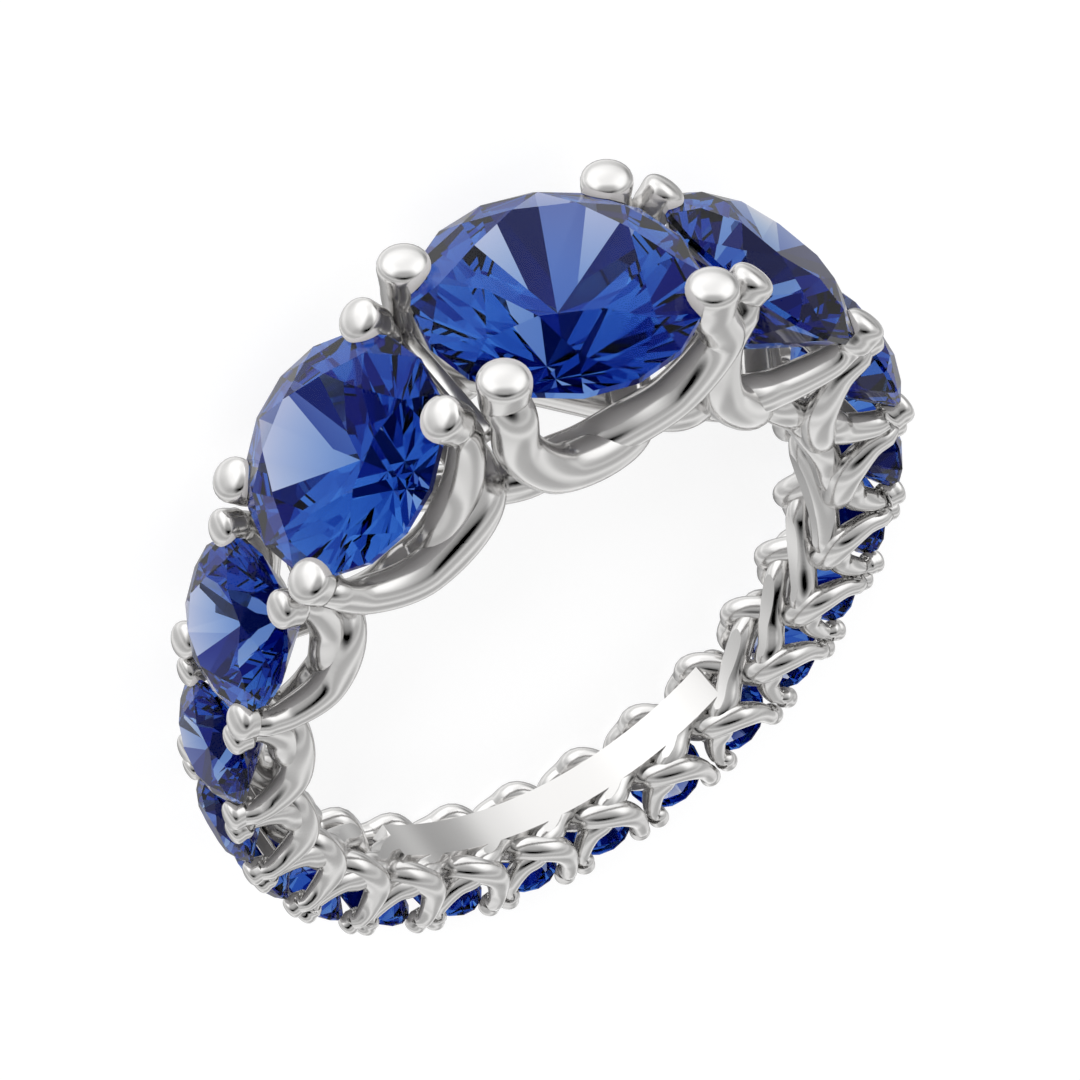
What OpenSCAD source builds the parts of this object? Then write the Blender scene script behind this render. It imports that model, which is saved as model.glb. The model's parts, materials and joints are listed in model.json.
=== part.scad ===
// Graduated eternity ring, lying on its side.
// Round stones run all the way round the finger hole, largest at the top and smallest at the bottom.
// Each stone sits in four prongs. Every prong grows out of a woven trellis of wires: one wire leaves
// the front of each stone and passes outside at the middle, one leaves its back and passes inside,
// and both rise to the far prongs of the next stone.

/* [Finger hole] */
// Diameter of the finger hole
hole_d = 17.3; // [17:0.1:18]
// Angle by which the ring leans as it lies on its side
rest_tilt = 5.05; // [0:0.05:8]

/* [Stones] */
// Diameter of the centre stone
centre_d = 7.4; // [7:0.1:7.5]
// Diameter of the smallest stones, at the bottom
small_d = 2.55; // [2.4:0.05:2.6]
// Width of the table, as a share of a stone's diameter
table_share = 0.57; // [0.53:0.01:0.62]
// Height of the crown, as a share of a stone's diameter
crown_share = 0.155; // [0.13:0.005:0.17]
// Depth of the pavilion, as a share of a stone's diameter
pavilion_share = 0.43; // [0.4:0.005:0.45]
// Thickness of the girdle, as a share of a stone's diameter
girdle_share = 0.025; // [0.015:0.005:0.035]
// Clearance between a stone and the metal
stone_gap = 0.02; // [0.01:0.01:0.04]

/* [Trellis wires] */
// Thickness of the wire that a stone of no size would have
wire_base = 0.60; // [0.55:0.01:0.65]
// Growth of the wire for each millimetre of stone diameter
wire_growth = 0.095; // [0.08:0.005:0.1]
// Thickness of the thin strips that join the prongs between two stones
strip_t = 0.42; // [0.35:0.01:0.5]

/* [Sizing plate] */
// Width of the smooth plate inside the bottom
plate_w = 1.28; // [1.1:0.02:1.4]
// Thickness of the plate
plate_t = 0.62; // [0.5:0.02:0.7]
// Angle that the plate covers
plate_angle = 82; // [70:1:90]
// Distance of the plate's middle behind the ring's middle
plate_back = 0.06; // [0:0.02:0.1]

/* [Hidden] */

count = 19;
ranks = 9;
hole_r = hole_d / 2;
metal_colour = [0.86, 0.85, 0.83];
stone_colour = [0.08, 0.19, 0.62];

// One row for each rank of stone, from the centre one down:
// diameter, height of the girdle over the finger hole, outward lean of the stone,
// angle of the prongs from the ring's plane, distance of a prong beyond the girdle, its top over it,
// thickness of the leg under its head, width of the head, and how far the leg that rises to it bows along
// the ring, in distances of the prong, and down, in seat depths
sizes = [
    [centre_d, 4.40, 0, 38.5, 0.16, 0.86, 1.20, 1.44, 0.17, 0.07],
    [6.25, 3.80, 12, 37, 0.20, 0.62, 0.86, 1.26, 0, 0],
    [4.60, 2.87, 10, 39.5, 0.20, 0.44, 0.72, 1.06, 0, 0],
    [3.65, 2.30, 4, 40, 0.24, 0.38, 0.62, 0.88, 0, 0],
    [2.85, 2.27, 0, 48, 0.27, 0.32, 0.54, 0.76, 0, 0],
    [small_d, 2.27, 0, 48, 0.30, 0.28, 0.50, 0.70, 0, 0],
];
dia_col = 0;
seat_col = 1;
lean_col = 2;
prong_angle_col = 3;
prong_out_col = 4;
prong_top_col = 5;
leg_col = 6;
head_col = 7;
bow_col = 8;
dip_col = 9;

function rank_of(k) = let (m = (k + count) % count) min(m, count - m);
function size(k, col) = sizes[min(rank_of(k), len(sizes) - 1)][col];
function stone_r(k) = size(k, dia_col) / 2;
function girdle_height(k) = hole_r + size(k, seat_col);

// Angles that a stone takes up round the ring, on its lower and its upper side
function lower_angle(k) =
    let (r = stone_r(k), lean = size(k, lean_col))
    atan2(r * cos(lean), girdle_height(k) - r * sin(lean));
function upper_angle(k) =
    let (r = stone_r(k), lean = size(k, lean_col))
    atan2(r * cos(lean), girdle_height(k) + r * sin(lean));
function sum(v, i = 0) = i < len(v) ? v[i] + sum(v, i + 1) : 0;

// The girdles almost touch, and what is left of the circle is shared out between them
taken_angle = lower_angle(0) + sum([for (i = [1:ranks]) lower_angle(i) + upper_angle(i)]);
girdle_gap = (180 - taken_angle) / (count / 2);
rank_angle = [for (n = [0:ranks]) n == 0 ? 0 :
    sum([for (i = [1:n]) lower_angle(i - 1) + upper_angle(i) + girdle_gap])];

// Stones are counted clockwise from the centre one, as the front shows them
function turns(k) = floor(k / count);
function angle_of(k) =
    let (m = k - count * turns(k))
    360 * turns(k) + (m <= ranks ? rank_angle[m] : 360 - rank_angle[count - m]);
function lean_of(k) =
    let (m = k - count * turns(k))
    m <= ranks ? size(k, lean_col) : -size(k, lean_col);
function half_width(k) = (lower_angle(k) + upper_angle(k)) / 2;

// Places in the ring's own frame: X to the right, Y to its top, Z out of its front.
// On the ring by angle and height over the finger hole, or on a stone along the ring and out of it
function on_ring(angle, height, side) =
    [(hole_r + height) * sin(angle), (hole_r + height) * cos(angle), side];
function on_stone(k, along, out, side) =
    let (turn = angle_of(k) + lean_of(k))
    on_ring(angle_of(k), size(k, seat_col), side)
    + along * [cos(turn), -sin(turn), 0]
    + out * [sin(turn), cos(turn), 0];

// Sizes of the metal at one stone
function wire_d(k) = wire_base + wire_growth * size(k, dia_col);
function prong_reach(k) = stone_r(k) + size(k, prong_out_col);
function prong_along(k) = prong_reach(k) * cos(size(k, prong_angle_col));
function prong_side(k) = prong_reach(k) * sin(size(k, prong_angle_col));
function seat_depth(k) = size(k, seat_col) - wire_d(k) / 2;

// The course of a wire is a short table. The columns are the place that a row is measured at, the way
// along the ring, the height, the way out of the middle plane beyond the prongs, the share of the bow,
// the share of the way from the leg's thickness to the wire's, and 1 where only the wires of large stones
// need the row.
// leg_from and leg_to: on a stone, in prong distances, seat depths and wires
// ring_from and ring_to: on the ring under that stone, in half widths of it, wires and wires
// between: part of the way to the next stone, in pitches, wires and wires
leg_from = 0;
ring_from = 1;
between = 2;
ring_to = 3;
leg_to = 4;
outer_course = [
    [leg_from, -0.98, -0.13, 0.22, 0, 0, 0],
    [leg_from, -0.92, -0.47, 0.17, 0, 0.4, 0],
    [leg_from, -0.50, -0.88, 0.10, 0, 1, 0],
    [leg_from, 0.32, -0.96, -0.32, 0, 1, 0],
    [between, 0.42, 1.30, 0, 0, 1, 0],
    [ring_to, -0.62, 0.60, -0.30, 0, 1, 0],
    [ring_to, -0.30, 0.55, -0.05, 0, 1, 0],
    [ring_to, 0.05, 1.10, 0.10, 0, 1, 1],
    [leg_to, 0.62, -0.60, 0.12, 1, 0.7, 0],
    [leg_to, 0.98, -0.32, 0.10, 1, 0.2, 1],
    [leg_to, 1.02, -0.13, 0.05, 0.6, 0, 0],
];
inner_course = [
    [leg_from, -1.00, -0.13, 0.06, 0, 0, 0],
    [leg_from, -0.94, -0.42, 0.02, 0, 0.4, 1],
    [leg_from, -0.80, -0.74, -0.25, 0, 1, 0],
    [ring_from, -0.42, 0.75, -0.72, 0, 1, 0],
    [ring_from, -0.15, 0.47, -1.00, 0, 1, 0],
    [between, 0.54, 0.45, -0.42, 0, 1, 0],
    [ring_to, -0.52, 0.47, -0.50, 0, 1, 1],
    [ring_to, -0.20, 0.50, -0.38, 0, 1, 0],
    [ring_to, 0.12, 0.85, -0.16, 0, 1, 0],
    [leg_to, 0.58, -0.69, -0.16, 1, 0.7, 0],
    [leg_to, 0.98, -0.31, -0.08, 1, 0.2, 1],
    [leg_to, 1.01, -0.13, 0, 0.6, 0, 0],
];

// A leaning stone's legs stand upright on the side of the larger stone, and not square to it
upright_share = 0.8;
function upright(k, way) = upright_share * tan(max(0, -way * lean_of(k)));

// A wire that leaves a leaning stone towards a larger one swings further on, by this share of the lean,
// and by twice as much, in wires, further out
swing_share = 0.4;
function swing(row, k) = row[0] == leg_from ? swing_share * tan(max(0, -lean_of(k))) * (1 + row[1]) : 0;

// A wire from stone k to the next, which leaves from one face (front 1, back -1) and ends at the other.
// A row of a leg lies on the stone at one of the wire's ends, way -1 before its middle and 1 after it
function leg_point(row, k, way, side) =
    let (down = (row[4] * size(k, dip_col) - row[2]) * seat_depth(k))
    on_stone(k, (row[1] + swing(row, k) + row[4] * size(k, bow_col)) * prong_along(k)
        - way * upright(k, way) * down, -down, side);
function course_point(row, k, face) =
    let (
        from = row[0] < between,
        on = from ? k : k + 1,
        side = (from ? face : -face) * (prong_side(on) + (row[3] + 2 * swing(row, on)) * wire_d(on))
    )
    row[0] == between ?
        on_ring(angle_of(k) + row[1] * (angle_of(k + 1) - angle_of(k)), row[2] * mean_wire(k),
            face * (row[3] * mean_wire(k) - lead(k))) :
    row[0] == leg_from || row[0] == leg_to ? leg_point(row, on, from ? -1 : 1, side) :
    on_ring(angle_of(on) + row[1] * half_width(on), row[2] * wire_d(on), side);
function mean_wire(k) = (wire_d(k) + wire_d(k + 1)) / 2;
// Between large stones a wire is over at the far face sooner, by this much of the size over the small ones
lead_share = 0.25;
function lead(k) = lead_share * ((size(k, dia_col) + size(k + 1, dia_col)) / 2 - small_d);
function course_r(row, k) =
    let (on = row[0] < between ? k : k + 1, leg_d = size(on, leg_col))
    (row[0] == between ? mean_wire(k) : leg_d + row[5] * (wire_d(on) - leg_d)) / 2;

// A prong's head: distance under its top in widths of it, width as a share of its own, and 1 where only
// large stones need the row
head_shape = [[0.55, 0.95, 0], [0.25, 0.94, 1], [0.04, 0.56, 0]];
function kept(rows, fine) = [for (row = rows) if (fine || row[len(row) - 1] == 0) row];
function head_points(k, way, face, fine) = [for (row = kept(head_shape, fine))
    on_stone(k, way * prong_along(k), size(k, prong_top_col) - row[0] * size(k, head_col),
        face * prong_side(k))];
function head_radii(k, fine) = [for (row = kept(head_shape, fine)) row[1] * size(k, head_col) / 2];
function backwards(v) = [for (i = [len(v) - 1:-1:0]) v[i]];

function wire_points(course, k, face, fine) = concat(
    backwards(head_points(k, -1, face, fine)),
    [for (row = kept(course, fine)) course_point(row, k, face)],
    head_points(k + 1, 1, -face, fine)
);
function wire_radii(course, k, fine) = concat(
    backwards(head_radii(k, fine)),
    [for (row = kept(course, fine)) course_r(row, k)],
    head_radii(k + 1, fine)
);

// A tube along the points, each ring square to the course and turned as little as possible
first_across = [0.35, 0.20, 0.92];
function unit(v) = v / norm(v);
function heading(p, i) = unit(p[min(i + 1, len(p) - 1)] - p[max(i - 1, 0)]);
function carried(p, i, across) = let (h = heading(p, i)) unit(across - (across * h) * h);
function frames(p, i = 0, across = first_across) =
    i == len(p) ? [] : let (a = carried(p, i, across)) concat([a], frames(p, i + 1, a));
module tube(p, r, sides) {
    across = frames(p);
    n = len(p);
    points = [for (i = [0:n - 1]) let (b = cross(heading(p, i), across[i])) for (j = [0:sides - 1])
        p[i] + r[i] * (cos(360 * j / sides) * across[i] + sin(360 * j / sides) * b)];
    walls = [for (i = [0:n - 2]) for (j = [0:sides - 1])
        let (a = i * sides + j, b = i * sides + (j + 1) % sides)
        each [[a, b + sides, b], [a, a + sides, b + sides]]];
    ends = [[for (j = [0:sides - 1]) j], [for (j = [sides - 1:-1:0]) (n - 1) * sides + j]];
    polyhedron(points, concat(walls, ends), convexity = 8);
}

// The wires of large stones are rounder than those of small ones
large_ranks = 3;
module wire(course, k, face) {
    fine = min(rank_of(k), rank_of(k + 1)) < large_ranks;
    tube(wire_points(course, k, face, fine), wire_radii(course, k, fine), fine ? 6 : 5);
}

// A thin strip from the front prongs to the back ones, under the girdles of two neighbours. Only the
// stones down to strip_ranks have room for one
strip_depth = 0.55;
strip_ranks = 5;
function is_right(k) = (k + count) % count <= ranks;
function lower_side(k) = is_right(k) ? lower_angle(k) : upper_angle(k);
function upper_side(k) = is_right(k) ? upper_angle(k) : lower_angle(k);
module cross_strip(k) {
    middle = (angle_of(k) + lower_side(k) + angle_of(k + 1) - upper_side(k + 1)) / 2;
    reach = min(prong_side(k), prong_side(k + 1));
    height = min(size(k, seat_col), size(k + 1, seat_col)) - strip_depth;
    hull()
        for (face = [-1, 1])
            translate(on_ring(middle, height, face * reach))
                rotate([0, 0, -middle])
                    cube([strip_t, strip_t, strip_t], center = true);
}

// The plate and the wires reach a little into the finger hole, which is then cut clean through them
trim = 0.1;
hole_sides = 48;
module sizing_plate() {
    translate([0, 0, -plate_back - plate_w / 2])
        rotate([0, 0, -90 - plate_angle / 2])
            rotate_extrude(angle = plate_angle, $fn = 2 * hole_sides)
                translate([hole_r - trim, 0])
                    square([plate_t + trim, plate_w]);
}

// A round brilliant with its girdle in the plane z = 0 and its table up. The kites meet the star facets
// at kite_r_share of the radius, and the lower girdle facets end at lower_r_share of it
mains = 8;
facets = 2 * mains;
kite_r_share = 0.80;
lower_r_share = 0.24;
function corner(i, r, z) = [r * cos(360 * i / facets), r * sin(360 * i / facets), z];
module brilliant(d) {
    r = d / 2;
    half_turn = cos(360 / facets);
    table_r = r * table_share;
    kite_r = r * kite_r_share;
    lower_r = r * lower_r_share;
    band = d * girdle_share / 2;
    table_z = d * crown_share;
    deep = d * pavilion_share;
    kite_z = band + (table_z - band) * (r - kite_r * half_turn) / (r - table_r);
    lower_z = -band - deep * (1 - lower_r * half_turn / r);
    points = concat(
        [for (i = [0:mains - 1]) corner(2 * i, table_r, table_z)],
        [for (i = [0:mains - 1]) corner(2 * i + 1, kite_r, kite_z)],
        [for (z = [band, -band]) for (i = [0:facets - 1]) corner(i, r, z)],
        [for (i = [0:mains - 1]) corner(2 * i + 1, lower_r, lower_z)],
        [[0, 0, -band - deep]]
    );
    // Where each ring of corners starts in the list, and the corners in it by number
    kites = mains;
    uppers = kites + mains;
    lowers = uppers + facets;
    deeps = lowers + facets;
    culet = deeps + mains;
    function kite(i) = kites + (i + mains) % mains;
    function upper(i) = uppers + i % facets;
    function lower(i) = lowers + i % facets;
    function low(i) = deeps + (i + mains) % mains;
    faces = concat(
        [[for (i = [mains - 1:-1:0]) i]],
        [for (i = [0:mains - 1]) each [
            [i, (i + 1) % mains, kite(i)],
            [i, kite(i), upper(2 * i), kite(i - 1)],
            [kite(i), upper(2 * i + 1), upper(2 * i)],
            [kite(i), upper(2 * i + 2), upper(2 * i + 1)],
            [lower(2 * i), lower(2 * i + 1), low(i)],
            [lower(2 * i + 1), lower(2 * i + 2), low(i)],
            [lower(2 * i), low(i), culet, low(i - 1)],
        ]],
        [for (i = [0:facets - 1]) [upper(i), upper(i + 1), lower(i + 1), lower(i)]]
    );
    polyhedron(points, faces, convexity = 2);
}

module on_seat(k) {
    translate(on_ring(angle_of(k), size(k, seat_col), 0))
        rotate([0, 0, -angle_of(k) - lean_of(k)])
            rotate([-90, 0, 0])
                children();
}

module stone(k) {
    color(stone_colour)
        as_it_lies()
            on_seat(k)
                brilliant(size(k, dia_col));
}

// The hollow that a stone leaves in the metal is the same stone, a little larger
module stone_room(k) {
    on_seat(k)
        brilliant(size(k, dia_col) + 2 * stone_gap);
}

module trellis_setting() {
    color(metal_colour)
        as_it_lies()
            difference() {
                union() {
                    for (k = [0:count - 1]) {
                        wire(outer_course, k, 1);
                        wire(inner_course, k, -1);
                    }
                    for (k = [-strip_ranks:strip_ranks - 1])
                        cross_strip(k);
                    sizing_plate();
                }
                cylinder(h = 4 * centre_d, d = hole_d, center = true, $fn = hole_sides);
                for (k = [0:count - 1])
                    stone_room(k);
            }
}

// The ring rests on the back of the centre stone's girdle and on the trellis behind the bottom.
// The axis of the finger hole meets that surface at the origin
rest_point_h = girdle_height(0) - centre_d * girdle_share / 2;
rest_lift = stone_r(0) * cos(rest_tilt) - rest_point_h * sin(rest_tilt);
module as_it_lies() {
    translate([0, -rest_lift * tan(rest_tilt), rest_lift])
        rotate([rest_tilt, 0, 0])
            children();
}

trellis_setting();
stone(0);  // stone_centre
for (rank = [1:ranks]) {
    stone(rank);
    stone(count - rank);
}
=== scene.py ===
import bmesh
import bpy
import json
import math
import numpy as np
from mathutils import Matrix, Vector
from mathutils.bvhtree import BVHTree

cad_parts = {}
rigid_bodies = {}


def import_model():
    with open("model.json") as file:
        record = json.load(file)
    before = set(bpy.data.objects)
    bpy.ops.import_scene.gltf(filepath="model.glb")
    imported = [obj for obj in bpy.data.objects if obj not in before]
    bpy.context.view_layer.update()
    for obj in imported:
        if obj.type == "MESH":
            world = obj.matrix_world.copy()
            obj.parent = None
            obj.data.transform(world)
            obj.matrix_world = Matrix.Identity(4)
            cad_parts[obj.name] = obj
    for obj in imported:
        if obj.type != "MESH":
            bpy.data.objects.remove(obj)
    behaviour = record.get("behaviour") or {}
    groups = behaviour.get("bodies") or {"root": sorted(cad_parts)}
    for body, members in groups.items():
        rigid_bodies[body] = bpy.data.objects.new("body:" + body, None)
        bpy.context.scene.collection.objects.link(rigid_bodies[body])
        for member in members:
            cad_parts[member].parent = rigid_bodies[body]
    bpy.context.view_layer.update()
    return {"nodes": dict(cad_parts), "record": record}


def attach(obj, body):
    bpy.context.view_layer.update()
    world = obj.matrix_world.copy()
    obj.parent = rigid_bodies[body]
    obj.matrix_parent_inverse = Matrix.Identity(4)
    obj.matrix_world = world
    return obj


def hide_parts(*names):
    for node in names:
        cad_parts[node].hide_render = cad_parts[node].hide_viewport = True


# A graduated eternity ring lying on its side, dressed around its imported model. Lengths are in metres.
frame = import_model()
mm = 0.001
scene = bpy.context.scene
print("model loaded:", len(frame["nodes"]), "nodes")


# The ring's own plan, measured on the model: the finger hole is its mount, each stone has its own node
hole = frame["record"]["mounts"][0]
holeRadius = hole["dims"]["r_mm"] * mm
measuring = {
    "weld": 5,               # decimals, in metres, at which two corners of a stone count as one
    "roomWeld": 1e-6,        # metres within which corners are joined in the hollow cut for a stone
    "sameReach": 0.99,       # corners that reach this share of the furthest one belong to the same edge
    "tiny": 1e-30,           # the least length that anything is divided by
}
stoneNames = (
    ["stone_centre"]
    + [f"stone_right_{n}" for n in range(1, 10)]
    + [f"stone_left_{n}" for n in range(9, 0, -1)]
)
stoneCount = len(stoneNames)


def unit(v):
    return v / np.linalg.norm(v)


def lengths(rows):
    return np.linalg.norm(rows, axis=1)


def rowDots(first, second):
    return np.einsum("ij,ij->i", first, second)


ringAxis = unit(np.array(hole["axis"]))


def nodePoints(node):
    points = np.array([v.co for v in frame["nodes"][node].data.vertices])
    kept = np.unique(points.round(measuring["weld"]), axis=0, return_index=True)[1]
    return points[kept]


def measureStone(node):
    # the culet is the corner nearest to the axis of the hole, and the girdle's top edge is furthest from it
    points = nodePoints(node)
    culet = points[np.argmin(lengths(points - np.outer(points @ ringAxis, ringAxis)))]
    reach = lengths(points - culet)
    rim = points[reach > measuring["sameReach"] * reach.max()]
    out = unit(rim.mean(axis=0) - culet)
    up = (points - culet) @ out
    across = lengths(points - culet - np.outer(up, out))
    girdle = across > measuring["sameReach"] * across.max()
    return {"seat": culet + up[girdle].mean() * out, "out": out, "radius": across.max()}


measured = [measureStone(name) for name in stoneNames]
topSeat = measured[0]["seat"]
ringCentre = ringAxis * (topSeat @ ringAxis)
ringTop = unit(topSeat - ringCentre)
ringRight = np.cross(ringTop, ringAxis)


def planStone(number):
    found = measured[number]
    fromCentre = found["seat"] - ringCentre
    angle = math.atan2(fromCentre @ ringRight, fromCentre @ ringTop)
    turn = math.atan2(found["out"] @ ringRight, found["out"] @ ringTop)
    lean = (turn - angle + math.pi) % (2 * math.pi) - math.pi
    radius, seatRadius = found["radius"], np.linalg.norm(fromCentre)
    near = math.atan2(radius * math.cos(lean), seatRadius - radius * math.sin(lean))
    far = math.atan2(radius * math.cos(lean), seatRadius + radius * math.sin(lean))
    return {
        "angle": angle % (2 * math.pi) if number else 0.0,
        "lean": lean,
        "radius": radius,
        "seat": seatRadius - holeRadius,
        "before": near if lean < 0 else far,    # half angles that it takes up, on its two sides
        "after": far if lean < 0 else near,
        "rank": min(number, stoneCount - number),
    }


plan = [planStone(number) for number in range(stoneCount)]
leastRadius = plan[stoneCount // 2]["radius"]
print("stones measured:", [round(2 * s["radius"] / mm, 2) for s in plan[:10]])


def stoneAt(k):
    return plan[k % stoneCount]


def angleAt(k):
    return stoneAt(k)["angle"] + 2 * math.pi * (k // stoneCount)


def halfWidth(k):
    return (stoneAt(k)["before"] + stoneAt(k)["after"]) / 2


# Places in the ring's frame: x to the right, y to its top, z out of its front
def onRing(angle, height, side):
    reach = holeRadius + height
    return np.array([reach * math.sin(angle), reach * math.cos(angle), side])


def onStone(k, along, out, side):
    stone = stoneAt(k)
    turn = stone["angle"] + stone["lean"]
    return (
        onRing(stone["angle"], stone["seat"], side)
        + along * np.array([math.cos(turn), -math.sin(turn), 0])
        + out * np.array([math.sin(turn), math.cos(turn), 0])
    )


def toModel(points):
    return ringCentre + points @ np.array([ringRight, ringTop, ringAxis])


# The trellis of round wires, the prongs' heads, the strips between the large stones and the sizing plate
trellis = {
    "wire": (0.60 * mm, 0.190),         # thickness for a stone of no size, and growth with its radius
    "leadShare": 0.50,                  # how much further over wires are between stones larger than the least
    "upright": 0.8,                     # how far legs by a larger stone stand up where their own stone leans
    "swing": 0.4,                       # how much further on wires go from a leaning stone to a larger one
    "swingOut": 2,                      # and how many times as far out, in wires
    "sides": 24,                        # round a wire
    "step": 0.18 * mm,                  # along a wire
    "leastSteps": 2,                    # between two points of its course
    "firstAcross": (0.35, 0.20, 0.92),  # where the first corner of a wire's end lies, from its middle
    "gap": 0.02 * mm,                   # between the metal and a stone
    "holeSides": 192,
}
# One row a rank: angle of the prongs from the ring's plane, distance beyond the girdle, top over it,
# thickness of the leg under the head, width of the head, and how far the leg that rises to it bows along
# the ring, in distances of the prong, and down, in seat depths
prongs = [
    (38.5, 0.16, 0.86, 1.20, 1.44, 0.17, 0.07),
    (37.0, 0.20, 0.62, 0.86, 1.26, 0, 0),
    (39.5, 0.20, 0.44, 0.72, 1.06, 0, 0),
    (40.0, 0.24, 0.38, 0.62, 0.88, 0, 0),
    (48.0, 0.27, 0.32, 0.54, 0.76, 0, 0),
    (48.0, 0.30, 0.28, 0.50, 0.70, 0, 0),
]
# The course of a wire. Each row is where it is measured, the way along, the height, the way out of the
# middle plane, the share of the bow, and the share of the way from the leg's thickness to the wire's:
# legFrom and legTo on a stone, in prong distances, seat depths and wires
# ringFrom and ringTo on the ring under it, in half widths of the stone, wires and wires
# between on the way to the next stone, in pitches, wires and wires
outerCourse = [
    ("legFrom", -0.98, -0.13, 0.22, 0, 0),
    ("legFrom", -0.92, -0.47, 0.17, 0, 0.4),
    ("legFrom", -0.50, -0.88, 0.10, 0, 1),
    ("legFrom", 0.32, -0.96, -0.32, 0, 1),
    ("between", 0.42, 1.30, 0, 0, 1),
    ("ringTo", -0.62, 0.60, -0.30, 0, 1),
    ("ringTo", -0.30, 0.55, -0.05, 0, 1),
    ("ringTo", 0.05, 1.10, 0.10, 0, 1),
    ("legTo", 0.62, -0.60, 0.12, 1, 0.7),
    ("legTo", 0.98, -0.32, 0.10, 1, 0.2),
    ("legTo", 1.02, -0.13, 0.05, 0.25, 0),
]
innerCourse = [
    ("legFrom", -1.00, -0.13, 0.06, 0, 0),
    ("legFrom", -0.94, -0.42, 0.02, 0, 0.4),
    ("legFrom", -0.80, -0.74, -0.25, 0, 1),
    ("ringFrom", -0.42, 0.75, -0.72, 0, 1),
    ("ringFrom", -0.15, 0.47, -1.00, 0, 1),
    ("between", 0.54, 0.45, -0.42, 0, 1),
    ("ringTo", -0.52, 0.47, -0.50, 0, 1),
    ("ringTo", -0.20, 0.50, -0.38, 0, 1),
    ("ringTo", 0.12, 0.85, -0.16, 0, 1),
    ("legTo", 0.58, -0.69, -0.16, 1, 0.7),
    ("legTo", 0.98, -0.31, -0.08, 1, 0.2),
    ("legTo", 1.01, -0.13, 0, 0.25, 0),
]
# A prong's head: distance under its top, in widths of it, and width as a share of its own
headProfile = [
    (0.74, 0.88),
    (0.50, 0.92),
    (0.34, 0.96),
    (0.24, 0.96),
    (0.15, 0.90),
    (0.08, 0.76),
    (0.03, 0.54),
    (0.00, 0.22),
]


def wireOf(k):
    base, growth = trellis["wire"]
    return base + growth * stoneAt(k)["radius"]


def prongOf(k):
    angle, out, top, leg, head, bow, dip = prongs[min(stoneAt(k)["rank"], len(prongs) - 1)]
    reach = stoneAt(k)["radius"] + out * mm
    return {
        "along": reach * math.cos(math.radians(angle)),
        "side": reach * math.sin(math.radians(angle)),
        "top": top * mm,
        "leg": leg * mm,
        "head": head * mm,
        "bow": bow,
        "dip": dip,
        "depth": stoneAt(k)["seat"] - wireOf(k) / 2,
    }


def coursePoint(row, k, face):
    place, along, height, side, bow, full = row
    to = k + 1
    on = k if place.endswith("From") else to
    prong, wire = prongOf(on), wireOf(on)
    if place == "between":
        wire = (wireOf(k) + wireOf(to)) / 2
        larger = (stoneAt(k)["radius"] + stoneAt(to)["radius"]) / 2 - leastRadius
        angle = angleAt(k) + along * (angleAt(to) - angleAt(k))
        return [*onRing(angle, height * wire, face * (side * wire - trellis["leadShare"] * larger)), wire / 2]
    if place == "legFrom":
        swing = trellis["swing"] * math.tan(max(0, -stoneAt(on)["lean"])) * (1 + along)
        along, side = along + swing, side + trellis["swingOut"] * swing
    facing, way = (face, -1) if on == k else (-face, 1)
    out = facing * (prong["side"] + side * wire)
    thick = prong["leg"] + full * (wire - prong["leg"])
    if place.startswith("ring"):
        return [*onRing(angleAt(on) + along * halfWidth(on), height * wire, out), thick / 2]
    down = (bow * prong["dip"] - height) * prong["depth"]
    # a leaning stone's legs stand upright on the side of the larger stone
    upright = trellis["upright"] * math.tan(max(0, -way * stoneAt(on)["lean"]))
    along = (along + bow * prong["bow"]) * prong["along"] - way * upright * down
    return [*onStone(on, along, -down, out), thick / 2]


def headRows(k, way, face):
    prong = prongOf(k)
    along, side = way * prong["along"], face * prong["side"]
    return [
        [*onStone(k, along, prong["top"] - under * prong["head"], side), share * prong["head"] / 2]
        for under, share in headProfile
    ]


def wireRows(course, k, face):
    rows = [coursePoint(row, k, face) for row in course]
    return np.array(headRows(k, -1, face)[::-1] + rows + headRows(k + 1, 1, -face))


def smoothed(rows, step, leastSteps):
    # a centripetal spline through rows of x, y, z and radius
    rows = np.vstack([2 * rows[0] - rows[1], rows, 2 * rows[-1] - rows[-2]])
    apart = lengths(np.diff(rows[:, :3], axis=0))
    knots = np.concatenate([[0], np.cumsum(np.sqrt(apart))])
    found = []
    for i in range(1, len(rows) - 2):
        (t0, t1, t2, t3), (p0, p1, p2, p3) = knots[i - 1:i + 3], rows[i - 1:i + 3]
        steps = max(leastSteps, math.ceil(apart[i] / step))
        t = np.linspace(t1, t2, steps, endpoint=False)[:, None]
        a1 = ((t1 - t) * p0 + (t - t0) * p1) / (t1 - t0)
        a2 = ((t2 - t) * p1 + (t - t1) * p2) / (t2 - t1)
        a3 = ((t3 - t) * p2 + (t - t2) * p3) / (t3 - t2)
        b1 = ((t2 - t) * a1 + (t - t0) * a2) / (t2 - t0)
        b2 = ((t3 - t) * a2 + (t - t1) * a3) / (t3 - t1)
        found.append(((t2 - t) * b1 + (t - t1) * b2) / (t2 - t1))
    return np.vstack(found + [rows[-2:-1]])


def circle(sides):
    turns = np.linspace(0, 2 * math.pi, sides, endpoint=False)
    return np.stack([np.cos(turns), np.sin(turns)], axis=1)


def roundedBox(halfU, halfV, corner, steps):
    found = []
    for quarter, (u, v) in enumerate([(1, 1), (-1, 1), (-1, -1), (1, -1)]):
        middle = np.array([u * (halfU - corner), v * (halfV - corner)])
        for step in range(steps):
            turn = (quarter + step / (steps - 1)) * math.pi / 2
            found.append(middle + corner * np.array([math.cos(turn), math.sin(turn)]))
    return np.array(found)


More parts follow.
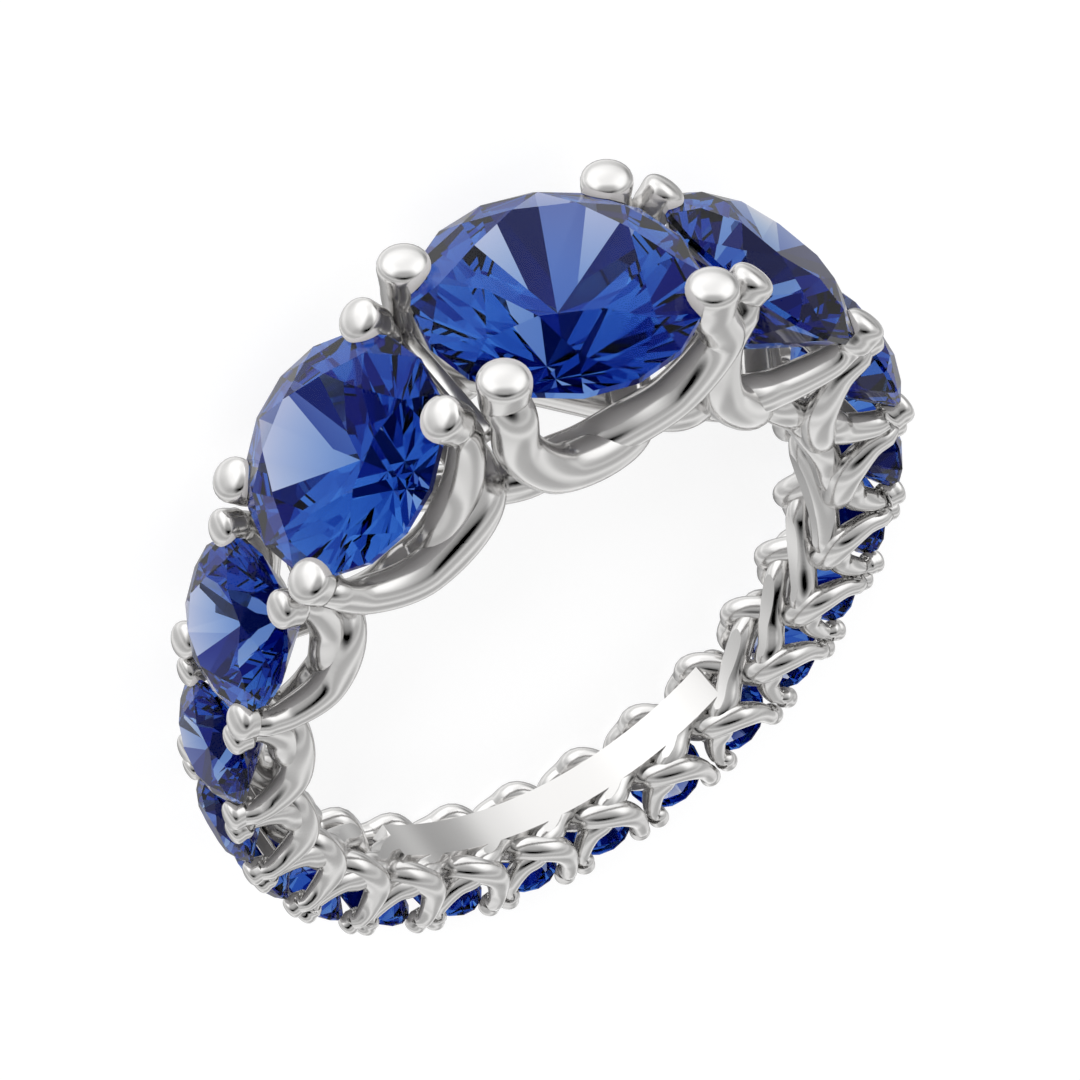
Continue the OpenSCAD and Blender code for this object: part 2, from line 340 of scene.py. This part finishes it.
def sweep(path, section, across):
    # a closed tube of the section along rows of x, y, z and scale, turned as little as possible
    centres, scales = path[:, :3], path[:, 3]
    headings = np.gradient(centres, axis=0)
    rings = []
    for centre, scale, heading in zip(centres, scales, headings):
        heading = unit(heading)
        across = unit(across - (across @ heading) * heading)
        up = np.cross(heading, across)
        rings.append(centre + scale * (section[:, :1] * across + section[:, 1:] * up))
    sides, count = len(section), len(path)
    points = np.vstack(rings + [centres[:1], centres[-1:]])
    j = np.arange(sides)
    following = (j + 1) % sides
    faces = [np.stack([j, 0 * j + sides * count, following], axis=1)]
    for i in range(count - 1):
        low, high = i * sides, (i + 1) * sides
        faces.append(np.stack([low + j, low + following, high + following], axis=1))
        faces.append(np.stack([low + j, high + following, high + j], axis=1))
    last = (count - 1) * sides
    faces.append(np.stack([last + j, last + following, 0 * j + sides * count + 1], axis=1))
    return toModel(points), np.vstack(faces)


def cornerNormals(points, faces):
    a, b, c = (points[faces[:, n]] for n in range(3))
    leaning = np.cross(b - a, c - a)
    normals = np.zeros_like(points)
    for n in range(3):
        np.add.at(normals, faces[:, n], leaning)
    return normals / np.maximum(lengths(normals), measuring["tiny"])[:, None]


def meshObject(name, points, faces, collection):
    mesh = bpy.data.meshes.new(name)
    mesh.from_pydata(points.tolist(), [], faces.tolist())
    made = bpy.data.objects.new(name, mesh)
    collection.objects.link(made)
    return made


def wireSolids():
    section = circle(trellis["sides"])
    across = np.array(trellis["firstAcross"])
    for k in range(stoneCount):
        for course, face in ((outerCourse, 1), (innerCourse, -1)):
            path = smoothed(wireRows(course, k, face), trellis["step"], trellis["leastSteps"])
            yield sweep(path, section, across)


strips = {
    "thickness": 0.42 * mm,
    "corner": 0.10 * mm,
    "cornerSteps": 4,
    "points": 9,           # along a strip
    "depth": 0.55 * mm,    # under the lower of the two girdles
    "ranks": 5,            # only the stones down to this rank have room for one
}


def stripSolids():
    half = strips["thickness"] / 2
    section = roundedBox(half, half, strips["corner"], strips["cornerSteps"])
    places = np.linspace(-1, 1, strips["points"])
    for k in range(-strips["ranks"], strips["ranks"]):
        middle = (angleAt(k) + stoneAt(k)["after"] + angleAt(k + 1) - stoneAt(k + 1)["before"]) / 2
        reach = min(prongOf(k)["side"], prongOf(k + 1)["side"])
        height = min(stoneAt(k)["seat"], stoneAt(k + 1)["seat"]) - strips["depth"]
        path = np.array([[*onRing(middle, height, side * reach), 1] for side in places])
        yield sweep(path, section, onRing(middle, height, 0))


plate = {
    "width": 1.28 * mm,
    "thickness": 0.62 * mm,
    "angle": 82,            # degrees of the ring
    "back": 0.06 * mm,      # behind the ring's middle
    "trim": 0.10 * mm,      # how far it reaches into the hole before that is cut
    "corner": 0.09 * mm,
    "cornerSteps": 6,
    "points": 96,           # along the plate
}


def plateSolid():
    halfThick = (plate["thickness"] + plate["trim"]) / 2
    section = roundedBox(halfThick, plate["width"] / 2, plate["corner"], plate["cornerSteps"])
    height = halfThick - plate["trim"]
    reach = math.radians(plate["angle"]) / 2
    turns = np.linspace(math.pi - reach, math.pi + reach, plate["points"])
    path = np.array([[*onRing(turn, height, -plate["back"]), 1] for turn in turns])
    return sweep(path, section, onRing(math.pi - reach, height, 0))


def holeCutter(collection):
    section = holeRadius * circle(trellis["holeSides"])
    reach = 2 * plan[0]["radius"]
    path = np.array([[0, 0, side * reach, 1] for side in (-1, 1)])
    meshObject("holeCutter", *sweep(path, section, np.array([1.0, 0, 0])), collection)


def roomCutter(number, collection):
    # the hollow for a stone is the same stone, a little larger
    made = bmesh.new()
    made.from_mesh(frame["nodes"][stoneNames[number]].data)
    bmesh.ops.remove_doubles(made, verts=made.verts, dist=measuring["roomWeld"])
    seat = Vector(measured[number]["seat"])
    larger = 1 + trellis["gap"] / measured[number]["radius"]
    for v in made.verts:
        v.co = seat + (v.co - seat) * larger
    mesh = bpy.data.meshes.new("room")
    made.to_mesh(mesh)
    made.free()
    collection.objects.link(bpy.data.objects.new("room", mesh))


def joinedSolid(name, first, steps):
    # steps are pairs of an operation and the collection of solids that it uses
    for operation, collection in steps:
        boolean = first.modifiers.new(operation, "BOOLEAN")
        boolean.operation = operation
        boolean.solver = "MANIFOLD"
        boolean.operand_type = "COLLECTION"
        boolean.collection = collection
    found = first.evaluated_get(bpy.context.evaluated_depsgraph_get())
    mesh = bpy.data.meshes.new_from_object(found)
    mesh.name = name
    return mesh


polishing = {
    "onWire": 0.0005 * mm,     # a face with its middle this near to a drawn one takes that one's normals
    "onHole": 0.012 * mm,      # a corner this near to the finger hole's wall takes the wall's
    "facingHole": 0.9,         # if its face points at the axis by this share
}


def cornerSources(mesh, tree):
    # for each corner of a face, the face's own normal and the drawn face that it lies on, -1 where it was cut
    own = np.zeros((len(mesh.loops), 3))
    source = np.full(len(mesh.loops), -1)
    for polygon in mesh.polygons:
        _, _, nearest, distance = tree.find_nearest(polygon.center)
        corners = slice(polygon.loop_start, polygon.loop_start + polygon.loop_total)
        own[corners] = polygon.normal
        if distance < polishing["onWire"]:
            source[corners] = nearest
    return own, source


def blendedNormals(spots, trios, points, normals):
    # each spot lies on a face with three corners, whose normals are blended by how near it is to them
    a, b, c = (points[trios[:, n]] for n in range(3))
    square = np.cross(b - a, c - a)
    size = rowDots(square, square)
    shareB = rowDots(np.cross(spots - a, c - a), square) / size
    shareC = rowDots(np.cross(b - a, spots - a), square) / size
    shares = np.clip(np.stack([1 - shareB - shareC, shareB, shareC], axis=1), 0, 1)
    blended = sum(shares[:, n:n + 1] * normals[trios[:, n]] for n in range(3))
    return blended / np.maximum(lengths(blended), measuring["tiny"])[:, None]


def polishNormals(mesh, solids):
    # every corner takes the smooth normal of the wire that its face came from, so reflections run on evenly
    points = np.vstack([p for p, _ in solids])
    starts = np.cumsum([0] + [len(p) for p, _ in solids[:-1]])
    faces = np.vstack([f + start for (_, f), start in zip(solids, starts)])
    normals = np.vstack([cornerNormals(p, f) for p, f in solids])
    result, source = cornerSources(mesh, BVHTree.FromPolygons(points.tolist(), faces.tolist()))
    corners = np.array([mesh.vertices[loop.vertex_index].co for loop in mesh.loops])
    fromAxis = corners - np.outer(corners @ ringAxis, ringAxis)
    away = lengths(fromAxis)
    bored = (source < 0) & (abs(away - holeRadius) < polishing["onHole"])
    bored &= rowDots(result, fromAxis) < -polishing["facingHole"] * away
    result[bored] = -fromAxis[bored] / away[bored, None]
    drawn = source >= 0
    result[drawn] = blendedNormals(corners[drawn], faces[source[drawn]], points, normals)
    mesh.polygons.foreach_set("use_smooth", np.ones(len(mesh.polygons), bool))
    mesh.normals_split_custom_set(result.tolist())


def makeTrellis():
    spare = bpy.data.collections.new("spare")
    cutters = bpy.data.collections.new("cutters")
    for collection in (spare, cutters):
        scene.collection.children.link(collection)
    solids = [*wireSolids(), *stripSolids(), plateSolid()]
    first = meshObject("wire", *solids[0], scene.collection)
    for points, faces in solids[1:]:
        meshObject("wire", points, faces, spare)
    holeCutter(cutters)
    for number in range(stoneCount):
        roomCutter(number, cutters)
    mesh = joinedSolid("trellisWork", first, [("UNION", spare), ("DIFFERENCE", cutters)])
    for made in [first, *spare.objects, *cutters.objects]:
        bpy.data.objects.remove(made)
    for collection in (spare, cutters):
        bpy.data.collections.remove(collection)
    polishNormals(mesh, solids)
    work = bpy.data.objects.new("trellisWork", mesh)
    scene.collection.objects.link(work)
    return work


trellisWork = makeTrellis()
print("trellis made:", len(trellisWork.data.polygons), "faces")
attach(trellisWork, "root")
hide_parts("trellis_setting")
trellisWork.visible_transmission = False    # the stones show clear light, not the wires behind them


# Finishes
def newMaterial(name):
    material = bpy.data.materials.new(name)
    material.use_nodes = True
    tree = material.node_tree
    tree.nodes.clear()
    shader = tree.nodes.new("ShaderNodeBsdfPrincipled")
    output = tree.nodes.new("ShaderNodeOutputMaterial")
    tree.links.new(shader.outputs["BSDF"], output.inputs["Surface"])
    return material, tree, shader, output


polish = {
    "smearDetail": 3,
    "smearRange": (0.3, 0.7),          # the middle of the noise, which is what shows
    "hairlineDetail": 1,
    "hairlineTurn": (0.4, 0.9, 0.2),   # radians
    "hairlineStretch": (0.06, 1, 1),
    "hairlineRange": (0.60, 0.72),     # noise at which a hairline begins and is full
}


def makePolishGroup():
    # what polishing and handling leave: broad faint smears and fine hairlines
    group = bpy.data.node_groups.new("polishMarks", "ShaderNodeTree")
    for way, names in (("INPUT", ("Smear Scale", "Hairline Scale")), ("OUTPUT", ("Smears", "Hairlines"))):
        for name in names:
            group.interface.new_socket(name, in_out=way, socket_type="NodeSocketFloat")
    nodes, links = group.nodes, group.links
    entry, leave = nodes.new("NodeGroupInput"), nodes.new("NodeGroupOutput")
    place = nodes.new("ShaderNodeTexCoord")
    smear = nodes.new("ShaderNodeTexNoise")
    smear.inputs["Detail"].default_value = polish["smearDetail"]
    links.new(place.outputs["Object"], smear.inputs["Vector"])
    links.new(entry.outputs["Smear Scale"], smear.inputs["Scale"])
    links.new(smear.outputs["Fac"], leave.inputs["Smears"])
    stretch = nodes.new("ShaderNodeMapping")
    stretch.inputs["Rotation"].default_value = polish["hairlineTurn"]
    stretch.inputs["Scale"].default_value = polish["hairlineStretch"]
    line = nodes.new("ShaderNodeTexNoise")
    line.inputs["Detail"].default_value = polish["hairlineDetail"]
    thin = nodes.new("ShaderNodeMapRange")
    thin.inputs["From Min"].default_value, thin.inputs["From Max"].default_value = polish["hairlineRange"]
    links.new(place.outputs["Object"], stretch.inputs["Vector"])
    links.new(stretch.outputs["Vector"], line.inputs["Vector"])
    links.new(entry.outputs["Hairline Scale"], line.inputs["Scale"])
    links.new(line.outputs["Fac"], thin.inputs["Value"])
    links.new(thin.outputs["Result"], leave.inputs["Hairlines"])
    return group


polishGroup = makePolishGroup()


def addPolish(tree, smearScale, hairlineScale=0):
    # stones and the floor show no hairlines, and give no scale for them
    node = tree.nodes.new("ShaderNodeGroup")
    node.node_tree = polishGroup
    node.inputs["Smear Scale"].default_value = smearScale
    node.inputs["Hairline Scale"].default_value = hairlineScale
    return node


def spreadSmears(tree, smears, low, high):
    node = tree.nodes.new("ShaderNodeMapRange")
    node.inputs["From Min"].default_value, node.inputs["From Max"].default_value = polish["smearRange"]
    node.inputs["To Min"].default_value = low
    node.inputs["To Max"].default_value = high
    tree.links.new(smears, node.inputs["Value"])
    return node.outputs["Result"]


def blendColours(tree, share, first, second):
    node = tree.nodes.new("ShaderNodeMix")
    node.data_type = "RGBA"
    node.inputs["A"].default_value = (*first, 1)
    node.inputs["B"].default_value = (*second, 1)
    tree.links.new(share, node.inputs["Factor"])
    return node.outputs["Result"]


def addBump(tree, height, strength, distance):
    node = tree.nodes.new("ShaderNodeBump")
    node.inputs["Strength"].default_value = strength
    node.inputs["Distance"].default_value = distance
    tree.links.new(height, node.inputs["Height"])
    return node.outputs["Normal"]


whiteGold = {
    "colour": (0.75, 0.742, 0.733),
    "shade": (0.71, 0.702, 0.694),
    "roughness": (0.15, 0.21),
    "smearScale": 260,
    "hairlineScale": 9000,
    "hairlineStrength": 0.15,
    "hairlineDepth": 0.002 * mm,
}


def makeWhiteGold():
    material, tree, shader, _ = newMaterial("polishedWhiteGold")
    marks = addPolish(tree, whiteGold["smearScale"], whiteGold["hairlineScale"])
    smears, hairlines = marks.outputs["Smears"], marks.outputs["Hairlines"]
    colour = blendColours(tree, smears, whiteGold["colour"], whiteGold["shade"])
    bump = addBump(tree, hairlines, whiteGold["hairlineStrength"], whiteGold["hairlineDepth"])
    tree.links.new(colour, shader.inputs["Base Color"])
    tree.links.new(spreadSmears(tree, smears, *whiteGold["roughness"]), shader.inputs["Roughness"])
    tree.links.new(bump, shader.inputs["Normal"])
    shader.inputs["Metallic"].default_value = 1
    return material


sapphire = {
    "tint": (0.66, 0.60, 0.78),
    "zone": (0.58, 0.55, 0.76),       # colour of the faint zones in it
    "roughness": (0.0, 0.004),
    "refraction": 1.77,
    "gloss": (0.03, 0.04, 0.09),      # colour of what its surface mirrors
    "kept": (0.0, 0.42, 0.83),        # colours that a deep stone lets through
    "depth": 3.6,                     # how much of the rest it takes across its own width
    "smearScale": 400,
    # painted reflection: reflections show a stone in this plain matt grey, not in its own blue
    "paintedReflectionColour": (0.58, 0.57, 0.58),    # matt colour that the metal's reflections show for a stone
}


def paintedStoneReflection(tree, shader):
    # painted reflection: glossy rays that meet a stone from outside see a plain pale matt grey stand-in
    # instead of the crystal, so the polished wires mirror a grey stone, and light inside a stone still meets
    # its own facets
    nodes, links = tree.nodes, tree.links
    paintedStandIn, inside, mirrored = (nodes.new(kind) for kind in (
        "ShaderNodeBsdfDiffuse", "ShaderNodeMixShader", "ShaderNodeMixShader"
    ))
    paintedStandIn.inputs["Color"].default_value = (*sapphire["paintedReflectionColour"], 1)
    links.new(nodes.new("ShaderNodeNewGeometry").outputs["Backfacing"], inside.inputs[0])
    links.new(paintedStandIn.outputs["BSDF"], inside.inputs[1])
    links.new(shader.outputs["BSDF"], inside.inputs[2])
    links.new(nodes.new("ShaderNodeLightPath").outputs["Is Glossy Ray"], mirrored.inputs[0])
    links.new(shader.outputs["BSDF"], mirrored.inputs[1])
    links.new(inside.outputs["Shader"], mirrored.inputs[2])
    return mirrored.outputs["Shader"]


def makeSapphire(width):
    # small stones are as deep in colour as large ones, as in a matched row
    material, tree, shader, output = newMaterial("sapphireCrystal")
    smears = addPolish(tree, sapphire["smearScale"]).outputs["Smears"]
    links = tree.links
    links.new(blendColours(tree, smears, sapphire["tint"], sapphire["zone"]), shader.inputs["Base Color"])
    links.new(spreadSmears(tree, smears, *sapphire["roughness"]), shader.inputs["Roughness"])
    shader.inputs["Transmission Weight"].default_value = 1
    shader.inputs["Specular Tint"].default_value = (*sapphire["gloss"], 1)
    shader.inputs["IOR"].default_value = sapphire["refraction"]
    # what reflections show of the stone's outside is a painted pale grey stand-in
    links.new(paintedStoneReflection(tree, shader), output.inputs["Surface"])
    depth = tree.nodes.new("ShaderNodeVolumeAbsorption")
    depth.inputs["Color"].default_value = (*sapphire["kept"], 1)
    depth.inputs["Density"].default_value = sapphire["depth"] / width
    links.new(depth.outputs["Volume"], output.inputs["Volume"])
    return material


trellisWork.data.materials.clear()
trellisWork.data.materials.append(makeWhiteGold())
sapphires = [makeSapphire(2 * stone["radius"]) for stone in plan[:stoneCount // 2 + 1]]
for name, stone in zip(stoneNames, plan):
    slots = frame["nodes"][name].data.materials
    slots.clear()
    slots.append(sapphires[stone["rank"]])
print("finishes made:", len(bpy.data.materials))


# Studio: a pale floor, soft light from all round and the camera
studio = {
    "floorSize": 1.6,
    "floorColour": (0.30, 0.30, 0.30),
    "floorShade": (0.288, 0.288, 0.292),
    "floorSmearScale": 40,
    "floorRoughness": 0.8,
    "floorGlow": 0.79,           # the floor's own light, which takes it to a pale tone
    "heights": [  # the room's light by height, 0 below the ring and 1 above it: height, strength
        (0.00, 1.06),
        (0.06, 1.00),
        (0.16, 0.80),
        (0.24, 1.00),
        (0.33, 0.58),
        (0.42, 0.52),
        (0.50, 0.80),
        (0.58, 0.54),
        (0.68, 0.52),
        (0.78, 0.98),
        (0.88, 1.18),
        (1.00, 1.22),
    ],
    "patches": [  # degrees round from the ring's front to its right, degrees to its top, breadth, strength
        (178, 15, 60, 0.42),
        (-130, 5, 34, 0.12),
        (-30, 44, 52, -0.66),
        (75, 40, 45, 0.32),
        (-125, 45, 40, 0.32),
        (102, 8, 26, -0.22),
        (148, -44, 44, -0.40),
        (20, -66, 30, -0.45),
        (-150, -62, 30, -0.40),
        (90, -78, 22, 0.20),
    ],
    "sparkle": {                 # what the stones' facets pick out of the room, from dark cards to lamps
        "scale": 1.0,
        "detail": 3,
        "shift": (-6.34, 7.71, -7.73),
        "levels": [              # noise, light
            (0.400, (0.00, 0.01, 0.08)),
            (0.450, (0.02, 0.06, 0.36)),
            (0.490, (0.80, 0.80, 0.85)),
            (0.535, (1.90, 1.50, 1.05)),
            (0.600, (3.20, 2.30, 1.30)),
            (0.660, (6.00, 3.80, 1.65)),
            (0.710, (13.0, 7.50, 2.30)),
        ],
    },
    "lights": [  # name, place and size in metres, strength in watts
        ("keyLight", (-0.16, 0.30, 0.15), 0.12, 0.8),
    ],
}
camera = {
    "place": (-25.67, 54.17, 47.90),   # millimetres, and so is what it aims at
    "aim": (0.267, 2.127, 1.465),
    "roll": 137.49,                    # degrees from upright
    "lens": 87.36,                     # millimetres too
    "nearest": 1,                      # and this, where what the camera sees begins
}


def makeFloor():
    half = studio["floorSize"] / 2
    corners = np.array([[-half, -half, 0], [half, -half, 0], [half, half, 0], [-half, half, 0]])
    floor = meshObject("floor", corners, np.array([[0, 1, 2, 3]]), scene.collection)
    material, tree, shader, _ = newMaterial("paleFloor")
    smears = addPolish(tree, studio["floorSmearScale"]).outputs["Smears"]
    colour = blendColours(tree, smears, studio["floorColour"], studio["floorShade"])
    tree.links.new(colour, shader.inputs["Base Color"])
    shader.inputs["Roughness"].default_value = studio["floorRoughness"]
    shader.inputs["Emission Color"].default_value = (1, 1, 1, 1)
    shader.inputs["Emission Strength"].default_value = studio["floorGlow"]
    floor.data.materials.append(material)
    floor.visible_glossy = floor.visible_transmission = False    # metal and stones show the room instead


def makeLight(name, place, size, watts):
    lamp = bpy.data.lights.new(name, "AREA")
    lamp.shape = "DISK"
    lamp.size = size
    lamp.energy = watts
    made = bpy.data.objects.new(name, lamp)
    made.location = place
    made.rotation_euler = (-Vector(place)).to_track_quat("-Z", "Y").to_euler()
    made.visible_glossy = made.visible_transmission = False
    scene.collection.objects.link(made)


def roomWay(around, height):
    around, height = math.radians(around), math.radians(height)
    level = math.cos(around) * ringAxis + math.sin(around) * ringRight
    return math.cos(height) * level + math.sin(height) * ringTop


def makeLevels(nodes, rows, interpolation):
    # rows of a place from 0 to 1 and a light
    levels = nodes.new("ShaderNodeValToRGB")
    levels.color_ramp.interpolation = interpolation
    for _ in rows[2:]:
        levels.color_ramp.elements.new(0.5)
    for stop, (place, light) in zip(levels.color_ramp.elements, rows):
        stop.position = place
        stop.color = (*light, 1)
    return levels


def facing(tree, way, direction):
    # how far the way looked in points in a direction, from -1 to 1
    dot = tree.nodes.new("ShaderNodeVectorMath")
    dot.operation = "DOT_PRODUCT"
    dot.inputs[1].default_value = direction
    tree.links.new(way, dot.inputs[0])
    return dot.outputs["Value"]


def roomLight(tree, way):
    # an even room, lit by height, with broad soft patches of more or less light
    nodes, links = tree.nodes, tree.links
    climb = nodes.new("ShaderNodeMapRange")
    climb.inputs["From Min"].default_value = -1
    levels = makeLevels(nodes, [(place, (light,) * 3) for place, light in studio["heights"]], "EASE")
    links.new(facing(tree, way, ringTop), climb.inputs["Value"])
    links.new(climb.outputs["Result"], levels.inputs["Fac"])
    total = levels.outputs["Color"]
    for around, height, breadth, strength in studio["patches"]:
        soft = nodes.new("ShaderNodeMapRange")
        soft.interpolation_type = "SMOOTHERSTEP"
        soft.inputs["From Min"].default_value = math.cos(math.radians(breadth))
        soft.inputs["From Max"].default_value = 1
        soft.inputs["To Max"].default_value = strength
        links.new(facing(tree, way, roomWay(around, height)), soft.inputs["Value"])
        added = nodes.new("ShaderNodeMath")
        links.new(total, added.inputs[0])
        links.new(soft.outputs["Result"], added.inputs[1])
        total = added.outputs["Value"]
    return total


def sparkleLight(tree, way):
    # cards and lamps of many sizes
    nodes, links = tree.nodes, tree.links
    sparkle = studio["sparkle"]
    shift = nodes.new("ShaderNodeVectorMath")
    shift.inputs[1].default_value = sparkle["shift"]
    cards = nodes.new("ShaderNodeTexNoise")
    cards.inputs["Scale"].default_value = sparkle["scale"]
    cards.inputs["Detail"].default_value = sparkle["detail"]
    levels = makeLevels(nodes, sparkle["levels"], "LINEAR")
    links.new(way, shift.inputs[0])
    links.new(shift.outputs["Vector"], cards.inputs["Vector"])
    links.new(cards.outputs["Fac"], levels.inputs["Fac"])
    return levels.outputs["Color"]


def makeWorld():
    # the metal and the floor are lit by the room, and light that leaves the stones meets the cards
    world = bpy.data.worlds.new("studioAir")
    world.use_nodes = True
    tree = world.node_tree
    nodes, links = tree.nodes, tree.links
    way = nodes.new("ShaderNodeTexCoord").outputs["Generated"]
    choice = nodes.new("ShaderNodeMix")
    choice.data_type = "RGBA"
    links.new(nodes.new("ShaderNodeLightPath").outputs["Is Transmission Ray"], choice.inputs["Factor"])
    links.new(roomLight(tree, way), choice.inputs["A"])
    links.new(sparkleLight(tree, way), choice.inputs["B"])
    links.new(choice.outputs["Result"], nodes["Background"].inputs["Color"])
    scene.world = world


def makeCamera():
    lens = bpy.data.cameras.new("camera")
    lens.lens = camera["lens"]
    lens.clip_start = camera["nearest"] * mm
    made = bpy.data.objects.new("camera", lens)
    place, aim = (Vector(camera[end]) * mm for end in ("place", "aim"))
    roll = Matrix.Rotation(math.radians(camera["roll"]), 3, "Z")
    turn = (aim - place).to_track_quat("-Z", "Y").to_matrix() @ roll
    made.location = place
    made.rotation_euler = turn.to_euler()
    scene.collection.objects.link(made)
    scene.camera = made


makeFloor()
for light in studio["lights"]:
    makeLight(*light)
makeWorld()
makeCamera()
scene.view_settings.view_transform = "Standard"
print("studio made")
